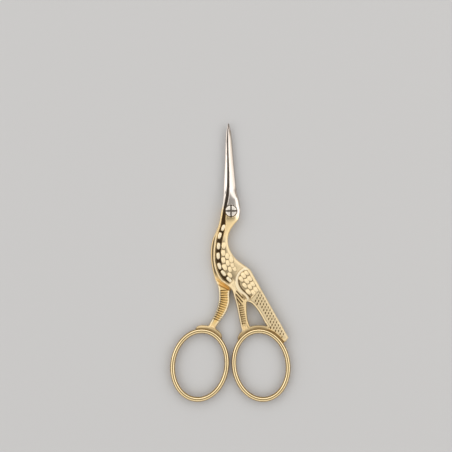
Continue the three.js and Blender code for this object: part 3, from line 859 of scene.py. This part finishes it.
root_rows = [beside(WING_ROOT, row) for row in (-0.5, -0.38, -0.28, -0.15, 0, 0.15, 0.28, 0.38, 0.5)]
band_rows = [beside(WING_BAND, side * row) for side in (-1, 1) for row in (0.2, 0.42, 0.6, 0.72, 0.86, 1.0)]
front_extra = np.vstack([stroke_rows(front_strokes), WING_BAND] + band_rows + root_rows)
step_line = THIGH_TOP[0] + np.arange(0, 1, 0.025)[:, None] * (THIGH_TOP[1] - THIGH_TOP[0])
step_rows = [beside(step_line, row) for row in (-0.4, -0.28, -0.16, -0.06, 0.0, 0.06, 0.16)]
belly = np.array([front_breast[np.argmin(np.linalg.norm(front_breast - p, axis=1))] for p in step_line])
fold_rows = [step_line + row * (belly - step_line) for row in (0.34, 0.42, 0.5, 0.58, 0.66)]
rear_extra = np.vstack([stroke_rows(rear_strokes)] + step_rows + fold_rows)
front_bird = plate_between("front_bird", front_plate, front_holes[:1], front_face, front_under, front_extra,
                           pale_and_sheen=front_pale)
rear_bird = plate_between("rear_bird", rear_plate, rear_holes[:1], rear_face, rear_under, rear_extra,
                          pale_and_sheen=thigh_pale)

# %% [markdown]
# ## Bows
# Each bow is drawn wire, bent round and forged into the leg. Its section is an oval, slightly higher
# than wide and a little flat on top, carried round the middle line of the ring. The seam closes on
# itself, so the ring has no ends. Painted highlights make it pale on both shoulders of top and
# underside, and painted shade, standing in for dark reflections, browns the flanks and each crest line.

# %% Sweeping the bows
BOW_SECTION = 40
BOW_FULL = 0.8
# Painted shade on the flanks and along each crest, as dark reflections, and painted highlights between:
FLANK_SHADE = 0.55
CREST_SHADE = 0.55
BOW_PALE = 0.56


def bow_tube(name, ring):
    """A tube round a ring, with the painted shade and the painted highlights of its section."""
    turn = np.linspace(0, 2 * math.pi, BOW_SECTION, endpoint=False)
    aside = np.sign(np.cos(turn)) * np.abs(np.cos(turn)) ** BOW_FULL
    up = np.sign(np.sin(turn)) * np.abs(np.sin(turn)) ** BOW_FULL
    flat = ring[:, None] + 0.5 * bow_stock * aside[None, :, None] * outward(ring)[:, None]
    height = 0.5 * (BOW_LOW + BOW_HIGH) + 0.5 * (BOW_HIGH - BOW_LOW) * up
    height = np.broadcast_to(height, flat.shape[:2])
    points = np.dstack([flat, height]).reshape(-1, 3)
    faces = []
    for i in range(len(ring)):
        here = i * BOW_SECTION
        there = (i + 1) % len(ring) * BOW_SECTION
        for k in range(BOW_SECTION):
            m = (k + 1) % BOW_SECTION
            faces.append((here + k, there + k, there + m, here + m))
    # Flanks and crest get painted shade, and the shoulders between them get painted highlights.
    flank = ease(0.92, 0.74, np.abs(up))
    crest = ease(0.34, 0.08, np.abs(aside))
    shade_paint = np.maximum(FLANK_SHADE * flank, CREST_SHADE * crest)
    pale_and_sheen = BOW_PALE * (1 - np.maximum(flank, crest))
    marks = {"hollow": np.tile(shade_paint, len(ring)), "pale_and_sheen": np.tile(pale_and_sheen, len(ring))}
    return new_piece(name, points, faces, marks)


front_bow = bow_tube("front_bow", front_ring)
rear_bow = bow_tube("rear_bow", rear_ring)

# %% [markdown]
# ## Metals
# Both halves are the same steel. From the neck down it is plated a pale gold, and towards the beak
# the plating ends in a soft change without a line, so one material mixes the two metals by height on
# the bird. Painted shade turns the colour brown in recesses, slots and grooves, on steep edges and on
# the flanks of the bows, where the real metal lies in shade or mirrors dark surroundings. Painted
# highlights make raised forms paler, over a paler tone of gold on the body. The meshes carry the
# shade and the pale tone as values, and a third, satin, says where the worked metal is less polished.
# The screw is steel throughout: its gold would begin far below the bows.

# %% Plated steel and bright steel
GOLD = (0.92, 0.61, 0.19, 1)
PALE_GOLD = (0.95, 0.89, 0.71, 1)
# Colours and roughness of the painted shade, on gold and on steel.
GOLD_SHADE = (0.038, 0.017, 0.004, 1)
STEEL_SHADE = (0.04, 0.028, 0.02, 1)
FULL_SHADE = 0.97
SHADE_ROUGH = 0.5
PLATING_SLANT = (0.6, 1.0, 0.0)
WANDER_SCALE = 420.0
POLISH_WANDER = (-0.03, 0.04)
SATIN_WANDER = (-0.06, 0.06)
BRUSHING = (9000, 900, 9000)
BRUSH_DEEP = 0.00004
BRUSH_SHARE = 0.06


def node(tree, kind, inputs=None, **settings):
    """A new node with its settings, and each input given a value or joined to a socket."""
    made = tree.nodes.new(kind)
    for key, value in settings.items():
        setattr(made, key, value)
    for label, value in (inputs or {}).items():
        socket = made.inputs[label]
        if isinstance(label, str):
            socket = next(s for s in made.inputs if s.name == label and s.enabled)
        if isinstance(value, bpy.types.NodeSocket):
            tree.links.new(value, socket)
        else:
            socket.default_value = value
    return made


def result(tree, kind, inputs=None, **settings):
    """The first output in use of a new node."""
    return next(s for s in node(tree, kind, inputs, **settings).outputs if s.enabled)


def metal(finish, steel_colour, gold_from, gold_to, polish, satin_rough):
    """Polished metal, steel towards the beak and gold from the neck down."""
    material = bpy.data.materials.new(finish)
    material.use_nodes = True
    tree = material.node_tree
    shader = tree.nodes["Principled BSDF"]
    shader.inputs["Metallic"].default_value = 1.0

    def spread(value, low, high):
        return result(tree, "ShaderNodeMapRange", {"Value": value, "To Min": low, "To Max": high})

    def blend(kind, share, one, two):
        return result(tree, "ShaderNodeMix", {"Factor": share, "A": one, "B": two}, data_type=kind)

    place = node(tree, "ShaderNodeTexCoord").outputs["Object"]
    slanted = result(tree, "ShaderNodeVectorMath", {0: place, 1: PLATING_SLANT}, operation="DOT_PRODUCT")
    ends = {"Value": slanted, "From Min": gold_from * MM, "From Max": gold_to * MM}
    plated = result(tree, "ShaderNodeMapRange", ends, interpolation_type="SMOOTHSTEP")
    labels = ("hollow", "satin", "pale_and_sheen")
    marks = [node(tree, "ShaderNodeAttribute", attribute_name=label) for label in labels]
    hollow, satin, pale_and_sheen = (mark.outputs["Fac"] for mark in marks)
    metals = blend("RGBA", plated, steel_colour, blend("RGBA", pale_and_sheen, GOLD, PALE_GOLD))
    # Painted shade: the metal's colour is mixed towards brown where the mesh marks shade.
    shades = blend("RGBA", plated, STEEL_SHADE, GOLD_SHADE)
    colour = blend("RGBA", spread(hollow, 0.0, FULL_SHADE), metals, shades)

    noise = {"Vector": place, "Scale": WANDER_SCALE, "Detail": 3.0}
    wander = node(tree, "ShaderNodeTexNoise", noise).outputs["Fac"]
    polished = spread(wander, *(polish + change for change in POLISH_WANDER))
    worked = spread(wander, *(satin_rough + change for change in SATIN_WANDER))
    rough = blend("FLOAT", hollow, blend("FLOAT", satin, polished, worked), SHADE_ROUGH)

    stretch = result(tree, "ShaderNodeMapping", {"Vector": place, "Scale": BRUSHING})
    brushing = node(tree, "ShaderNodeTexNoise", {"Vector": stretch, "Scale": 1.0}).outputs["Fac"]
    grain = {"Height": brushing, "Strength": BRUSH_SHARE, "Distance": BRUSH_DEEP}
    bump = result(tree, "ShaderNodeBump", grain)
    for label, socket in (("Base Color", colour), ("Roughness", rough), ("Normal", bump)):
        tree.links.new(socket, shader.inputs[label])
    print("material", finish, "nodes:", len(tree.nodes))
    return material


plated_steel = metal("plated_steel", (0.84, 0.76, 0.69, 1), 1.0, -2.4, 0.12, 0.48)
bright_steel = metal("bright_steel", (0.82, 0.76, 0.68, 1), -80.0, -90.0, 0.40, 0.40)

# %% [markdown]
# ## Feathers
# The raised feathers repeat along lines: plump ones in the breast channel, scales on body and wing.
# One node tree makes them all. It spaces points along the given lines, puts a flattened, tapered
# pillow on each, turns it with the line, lifts its free end, and sizes it. A pitch of nought keeps
# the line's own points, a low value of Full squares the pillow's ends and flattens its top, and Skirt
# paints shade round its foot, where the pillows meet the metal.

# %% Tree for rows of feathers
LEAST_PITCH = 1e-5
SIDES = 12
RINGS = 7


def feather_tree():
    """Geometry nodes that lay feathers along lines."""
    tree = bpy.data.node_groups.new("feather_rows", "GeometryNodeTree")
    sizes = ("Pitch", "Long", "Wide", "High", "Turn", "Lift", "Taper", "Full", "Skirt", "Jitter")
    sockets = [("Lines", "Geometry")] + [(label, "Float") for label in sizes]
    sockets += [("Seed", "Int"), ("Finish", "Material")]
    for label, kind in sockets:
        tree.interface.new_socket(label, in_out="INPUT", socket_type="NodeSocket" + kind)
    tree.interface.new_socket("Feathers", in_out="OUTPUT", socket_type="NodeSocketGeometry")
    given = node(tree, "NodeGroupInput").outputs

    def add(kind, inputs=None, **settings):
        return result(tree, kind, inputs, **settings)

    def maths(kind, one, two):
        return add("ShaderNodeMath", {0: one, 1: two}, operation=kind)

    wires = add("GeometryNodeMeshToCurve", {"Mesh": given["Lines"]})
    pitch = maths("MAXIMUM", given["Pitch"], LEAST_PITCH)
    spaced = add("GeometryNodeResampleCurve", {"Curve": wires, "Length": pitch}, mode="LENGTH")
    by_pitch = maths("GREATER_THAN", given["Pitch"], LEAST_PITCH)
    ways = {"Switch": by_pitch, "False": wires, "True": spaced}
    chosen = add("GeometryNodeSwitch", ways, input_type="GEOMETRY")
    spots = node(tree, "GeometryNodeCurveToPoints", {"Curve": chosen}, mode="EVALUATED").outputs

    ball = add("GeometryNodeMeshUVSphere", {"Segments": SIDES, "Rings": RINGS})
    at = node(tree, "ShaderNodeSeparateXYZ", {0: add("GeometryNodeInputPosition")}).outputs

    def fuller(value):
        size = maths("POWER", maths("ABSOLUTE", value, 0), given["Full"])
        return maths("MULTIPLY", maths("SIGN", value, 0), size)

    narrow = maths("SUBTRACT", 1.0, maths("MULTIPLY", given["Taper"], at["X"]))
    across = maths("MULTIPLY", fuller(at["Y"]), narrow)
    shape = add("ShaderNodeCombineXYZ", {"X": fuller(at["X"]), "Y": across, "Z": fuller(at["Z"])})
    # Painted shade round the foot of each pillow, as strong as Skirt.
    ends = {"Value": at["Z"], "From Min": 0.7, "From Max": 0.3, "To Max": given["Skirt"]}
    foot = add("ShaderNodeMapRange", ends, interpolation_type="SMOOTHSTEP")
    mark = {"Geometry": ball, "Name": "hollow", "Value": foot}
    shade_paint = add("GeometryNodeStoreNamedAttribute", mark, data_type="FLOAT", domain="POINT")
    pillow = add("GeometryNodeSetPosition", {"Geometry": shade_paint, "Position": shape})

    less = maths("MULTIPLY", given["Jitter"], -1.0)

    def random(shift):
        ends = {"Min": less, "Max": given["Jitter"], "Seed": maths("ADD", given["Seed"], shift)}
        return add("FunctionNodeRandomValue", ends, data_type="FLOAT")

    axes = {0: spots["Tangent"], 1: (0, 0, 1)}
    along = add("FunctionNodeAxesToRotation", axes, primary_axis="X", secondary_axis="Z")
    turn = maths("ADD", given["Turn"], random(1))
    tilt = add("ShaderNodeCombineXYZ", {"Y": given["Lift"], "Z": turn})
    turned = add("FunctionNodeEulerToRotation", {0: tilt})
    rotation = add("FunctionNodeRotateRotation", {0: along, 1: turned}, rotation_space="LOCAL")
    halves = [maths("MULTIPLY", given[label], 0.5) for label in ("Long", "Wide")]
    size = add("ShaderNodeCombineXYZ", {"X": halves[0], "Y": halves[1], "Z": given["High"]})
    scale = {0: size, "Scale": maths("ADD", 1.0, random(2))}
    sized = add("ShaderNodeVectorMath", scale, operation="SCALE")

    laid = {"Points": spots["Points"], "Instance": pillow, "Rotation": rotation, "Scale": sized}
    real = add("GeometryNodeRealizeInstances", {"Geometry": add("GeometryNodeInstanceOnPoints", laid)})
    smooth = add("GeometryNodeSetShadeSmooth", {"Geometry": real})
    done = add("GeometryNodeSetMaterial", {"Geometry": smooth, "Material": given["Finish"]})
    node(tree, "NodeGroupOutput", {"Feathers": done})
    return tree


feathers = feather_tree()
print("feather tree nodes:", len(feathers.nodes))

# %% [markdown]
# ## Laying rows on the bird
# A row is a line on the plan of the bird. Its heights come from the same relief that made the plate,
# so a feather always sits on the metal. The breast has plump feathers at chosen spots, body and wing
# have staggered rows of scales, the back of the pair one plain row, and a small boss closes each leg
# above its bow. All rows of a half end up in one mesh.

# %% From plan lines to feathers
def feather_rows(lines, height, pitch, long, wide, high, turn=0.0, lift=0.0, taper=0.0, full=0.85,
                 skirt=0.0, jitter=0.0, seed=1, side=1, pale_and_sheen=PLAIN_PALE):
    """Mesh of the feathers on some plan lines, in mm; side is -1 on the back of the pair."""
    points, edges = [], []
    for line in lines:
        line = np.array(line, float)
        edges += [(len(points) + i, len(points) + i + 1) for i in range(len(line) - 1)]
        points += np.column_stack([line, height(line)[0]]).tolist()
    wire = bpy.data.meshes.new("row")
    wire.from_pydata((np.array(points) * MM).tolist(), edges, [])
    row = placed("row", wire)
    grow = row.modifiers.new("feathers", "NODES")
    grow.node_group = feathers
    values = {"Pitch": pitch * MM, "Long": long * MM, "Wide": wide * MM, "High": high * MM,
              "Turn": math.radians(turn), "Lift": math.radians(-lift * side), "Taper": taper, "Full": full,
              "Skirt": skirt, "Jitter": jitter, "Seed": seed, "Finish": plated_steel}
    for socket in feathers.interface.items_tree:
        if socket.item_type == "SOCKET" and socket.in_out == "INPUT" and socket.name in values:
            grow[socket.identifier] = values[socket.name]
    done = bpy.data.meshes.new_from_object(row.evaluated_get(bpy.context.evaluated_depsgraph_get()))
    bpy.data.objects.remove(row)
    bpy.data.meshes.remove(wire)
    done["pale_and_sheen"] = pale_and_sheen
    return done


def one_mesh(name, meshes):
    """All rows of one half as a single piece."""
    pale_and_sheen = np.concatenate([np.full(len(mesh.vertices), mesh["pale_and_sheen"]) for mesh in meshes])
    # The painted shade of each row's pillows, kept for the whole piece.
    foot = []
    for mesh in meshes:
        foot.append(np.empty(len(mesh.vertices), np.float32))
        mesh.attributes["hollow"].data.foreach_get("value", foot[-1])
        mesh.attributes.remove(mesh.attributes["hollow"])
    bm = bmesh.new()
    for mesh in meshes:
        bm.from_mesh(mesh)
        bpy.data.meshes.remove(mesh)
    whole = bpy.data.meshes.new(name)
    bm.to_mesh(whole)
    bm.free()
    whole.shade_smooth()
    add_marks(whole, {"satin": np.ones(len(pale_and_sheen)), "pale_and_sheen": pale_and_sheen, "hollow": np.concatenate(foot)})
    print(name, "faces:", len(whole.polygons))
    return placed(name, whole)


def stretches(line, keep, least):
    """The unbroken runs of a line where a test holds, if they have enough points."""
    runs = [[]]
    for point, good in zip(line, keep):
        if good:
            runs[-1].append(point)
        else:
            runs.append([])
    return [np.array(run) for run in runs if len(run) >= least]


# %% Rows on the front half
BREAST_FEATHERS = [(-2.48, -5.42), (-3.65, -7.94), (-4.0, -11.3), (-4.12, -14.45), (-3.72, -17.74),
                   (-2.4, -20.0), (-0.6, -22.05)]
# The plump feathers are painted pale as a highlight.
PLUMP = {"long": 2.4, "wide": 1.3, "high": 0.5, "taper": 0.12, "full": 0.76, "pale_and_sheen": 0.8}
front_meshes = [feather_rows([BREAST_FEATHERS], front_face, 0, **PLUMP)]

SCALE_ROWS = (3.2, 4.45, 5.7, 6.95)
SCALE_PITCH = 2.15
# Scales get painted shade round their foot and a paler tone of gold.
SCALE = {"high": 0.36, "lift": 11, "full": 0.8, "skirt": 0.66, "jitter": 0.11, "pale_and_sheen": 0.58}
BAND_CLEAR = BAND_HALF + 0.75
run = run_of(beside(front_breast, SCALE_ROWS[1]))
stations = np.searchsorted(run, np.arange(0, run[-1], 0.5 * SCALE_PITCH))
scale_lines = []
for number, distance in enumerate(SCALE_ROWS):
    line = beside(front_breast, distance)[stations[number % 2::2]]
    good = (nearest(line, front_back)[0] > 1.15) & (line[:, 1] < -7.5) & (line[:, 0] < 4.3)
    good &= inside(line, front_plate) & ~inside(line, wing_field)
    good &= nearest(line, WING_BAND)[0] > BAND_CLEAR
    good &= nearest(line, front_breast)[0] > distance - 0.12
    scale_lines += stretches(line, good, least=2)
front_meshes.append(feather_rows(scale_lines, front_face, 0, 2.5, 1.6, taper=0.2, seed=4, **SCALE))

WING_MIDDLE = np.array([5.3, -23.0])
WING_STEP = 1.22
wing_lines = []
for number in range(-3, 4):
    runs = np.arange(-6, 6, 0.12) + 0.8 * (number % 2)
    line = WING_MIDDLE + number * WING_STEP * TAIL_SIDE + runs[:, None] * TAIL_WAY
    good = inside(line, wing_field) & (nearest(line, WING_BAND)[0] > BAND_CLEAR)
    good &= (nearest(line, front_back)[0] > 1.05) & (past(WING_ROOT, line) < -0.7)
    wing_lines += stretches(line, good, least=6)
front_meshes.append(feather_rows(wing_lines, front_face, 1.8, 2.3, 1.46, turn=8, taper=0.22, seed=9,
                                 **SCALE))

front_boss = [(4.25, -37.6), (4.25, -38.1)]
front_meshes.append(feather_rows([front_boss], front_face, 0, 1.2, 0.75, 0.24))
front_feathers = one_mesh("front_feathers", front_meshes)

# %% Rows on the rear half
back_line = beside(rear_breast, 1.6)
back_line = back_line[(back_line[:, 1] < -5.5) & (back_line[:, 1] > -18.5)]
rear_boss = [(-5.95, -37.25), (-5.6, -37.4)]
rear_meshes = [feather_rows([back_line], rear_under, 3.0, side=-1, **PLUMP),
               feather_rows([rear_boss], rear_face, 0, 1.0, 0.9, 0.26)]
rear_feathers = one_mesh("rear_feathers", rear_meshes)

# %% [markdown]
# ## The screw
# One screw holds the halves together and can be set tighter, so its domed head has a crossed slot.
# The head sits in a round seat in the front half. Its other end is filed flush with the back.

# %% Turning and slotting the screw
screw_low, screw_high = (np.array(c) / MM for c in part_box("pivot_screw"))
HEAD_RADIUS = screw_high[0] - 0.03
SHANK_RADIUS = 1.0
SEAT_FLOOR = TOP - 0.43
SLOT_HALF = 0.19
SLOT_DEEP = 0.42
# Painted shade in the slots:
SLOT_SHADE = 0.93
DOME_FALL = 0.26


def circle(radius, count):
    """A closed loop of points round the screw's axis."""
    turn = np.linspace(0, 2 * math.pi, count, endpoint=False)
    return radius * np.column_stack([np.cos(turn), np.sin(turn)])


def screw_face(p):
    """Height of the slotted dome, and the painted shade in its slots."""
    radius = np.linalg.norm(p, axis=1)
    dome = screw_high[2] - 0.02 - DOME_FALL * (radius / HEAD_RADIUS) ** 2
    dome = dome - roll(HEAD_RADIUS - radius, 0.2, 0.22)
    slot = ease(SLOT_HALF + 0.07, SLOT_HALF - 0.05, np.abs(p).min(1))
    return dome - SLOT_DEEP * slot, SLOT_SHADE * slot


def screw_under(p):
    """Height of the seat's floor under the head, and of the shank's end."""
    radius = np.linalg.norm(p, axis=1)
    shank = ease(SHANK_RADIUS + 0.03, SHANK_RADIUS - 0.03, radius)
    end = screw_low[2] + roll(SHANK_RADIUS - radius, 0.15, 0.12)
    return mix(SEAT_FLOOR, end, shank), np.zeros(len(p))


screw = plate_between("screw", circle(HEAD_RADIUS, 72), [], screw_face, screw_under)

# %% [markdown]
# ## Who replaces what
# Each new piece stands in for a solid and moves with its body. The front half turns on the screw, and
# the screw stays with the rear half.

# %% Bodies, finishes and slots
for piece in (front_bird, front_bow, front_feathers):
    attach(piece, "front")
    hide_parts("front_half")
for piece in (rear_bird, rear_bow, rear_feathers):
    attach(piece, "rear")
    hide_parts("rear_half")
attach(screw, "rear")
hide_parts("pivot_screw")
for piece in (front_bird, front_bow, front_feathers, rear_bird, rear_bow, rear_feathers):
    piece.data.materials.clear()
    piece.data.materials.append(plated_steel)
screw.data.materials.append(bright_steel)
print("on the front body:", front_bird.name, front_bow.name, front_feathers.name)
print("on the rear body:", rear_bird.name, rear_bow.name, rear_feathers.name, screw.name)

# %% [markdown]
# ## Floor, light and view
# Polished metal shows its surroundings more than itself. Bright walls under a dimmer ceiling light
# every soft slope and leave the flat head grey, the low walls are warm and dark, so that steep edges
# turn brown, and the room is lighter to the upper left, as beside a window, which models the feathers.
# Close to the floor the room is pale again, so that a low view ends in a soft horizon. Three weak soft
# boxes add the shadow on the floor, which is plain and pale.

# %% Floor
FLOOR_HALF = 0.6
floor_mesh = bpy.data.meshes.new("floor")
corners = [(x * FLOOR_HALF, y * FLOOR_HALF, 0) for x, y in ((-1, -1), (1, -1), (1, 1), (-1, 1))]
floor_mesh.from_pydata(corners, [], [(0, 1, 2, 3)])
floor = placed("floor", floor_mesh)
floor_paint = bpy.data.materials.new("floor_paint")
floor_paint.use_nodes = True
paint = floor_paint.node_tree.nodes["Principled BSDF"]
paint.inputs["Base Color"].default_value = (0.56, 0.56, 0.56, 1)
paint.inputs["Roughness"].default_value = 0.7
floor_mesh.materials.append(floor_paint)
print("floor, m:", 2 * FLOOR_HALF)

# %% Surroundings
TONES = [(0.0, (0.60, 0.60, 0.60)), (0.10, (0.60, 0.60, 0.60)), (0.14, (0.2, 0.15, 0.1)),
         (0.2, (0.22, 0.16, 0.11)), (0.36, (0.52, 0.46, 0.40)), (0.54, (1.14, 1.12, 1.1)),
         (0.70, (1.3, 1.29, 1.28)), (0.885, (1.28, 1.28, 1.28)), (0.95, (0.46, 0.46, 0.46)),
         (1.0, (0.36, 0.36, 0.36))]
WINDOW = (-0.7, 0.7, 0.0)

world = bpy.data.worlds.new("tent")
bpy.context.scene.world = world
world.use_nodes = True
sky = world.node_tree
where = node(sky, "ShaderNodeTexCoord").outputs["Generated"]
rise = node(sky, "ShaderNodeSeparateXYZ", {0: where}).outputs["Z"]
tone = node(sky, "ShaderNodeValToRGB", {0: rise})
ramp = tone.color_ramp.elements
for position, _ in TONES[1:-1]:
    ramp.new(position)
for element, (_, colour) in zip(ramp, TONES):
    element.color = (*colour, 1)
to_window = result(sky, "ShaderNodeVectorMath", {0: where, 1: WINDOW}, operation="DOT_PRODUCT")
span = {"Value": to_window, "From Min": -1.0, "From Max": 1.0, "To Min": 0.84, "To Max": 1.2}
background = sky.nodes["Background"]
sky.links.new(tone.outputs["Color"], background.inputs["Color"])
sky.links.new(result(sky, "ShaderNodeMapRange", span), background.inputs["Strength"])
print("tones of the room:", len(ramp))

# %% Lamps
LAMP_AIM = Vector((0, -0.015, 0))


def softbox(name, place, size, power, colour):
    """A flat lamp that shines on the scissors."""
    lamp = bpy.data.lights.new(name, "AREA")
    lamp.shape = "RECTANGLE"
    lamp.size, lamp.size_y = size
    lamp.energy = power
    lamp.color = colour
    made = placed(name, lamp)
    made.location = place
    made.rotation_euler = (LAMP_AIM - Vector(place)).to_track_quat("-Z", "Y").to_euler()
    print(name, "W:", power)


softbox("left_softbox", (-0.36, 0.06, 0.20), (0.16, 0.34), 0.08, (0.97, 0.98, 1.0))
softbox("right_softbox", (0.31, 0.02, 0.25), (0.30, 0.30), 0.11, (1.0, 0.98, 0.95))
softbox("top_softbox", (-0.04, 0.34, 0.30), (0.34, 0.12), 0.06, (1.0, 1.0, 1.0))
bpy.context.scene.view_settings.view_transform = "Standard"
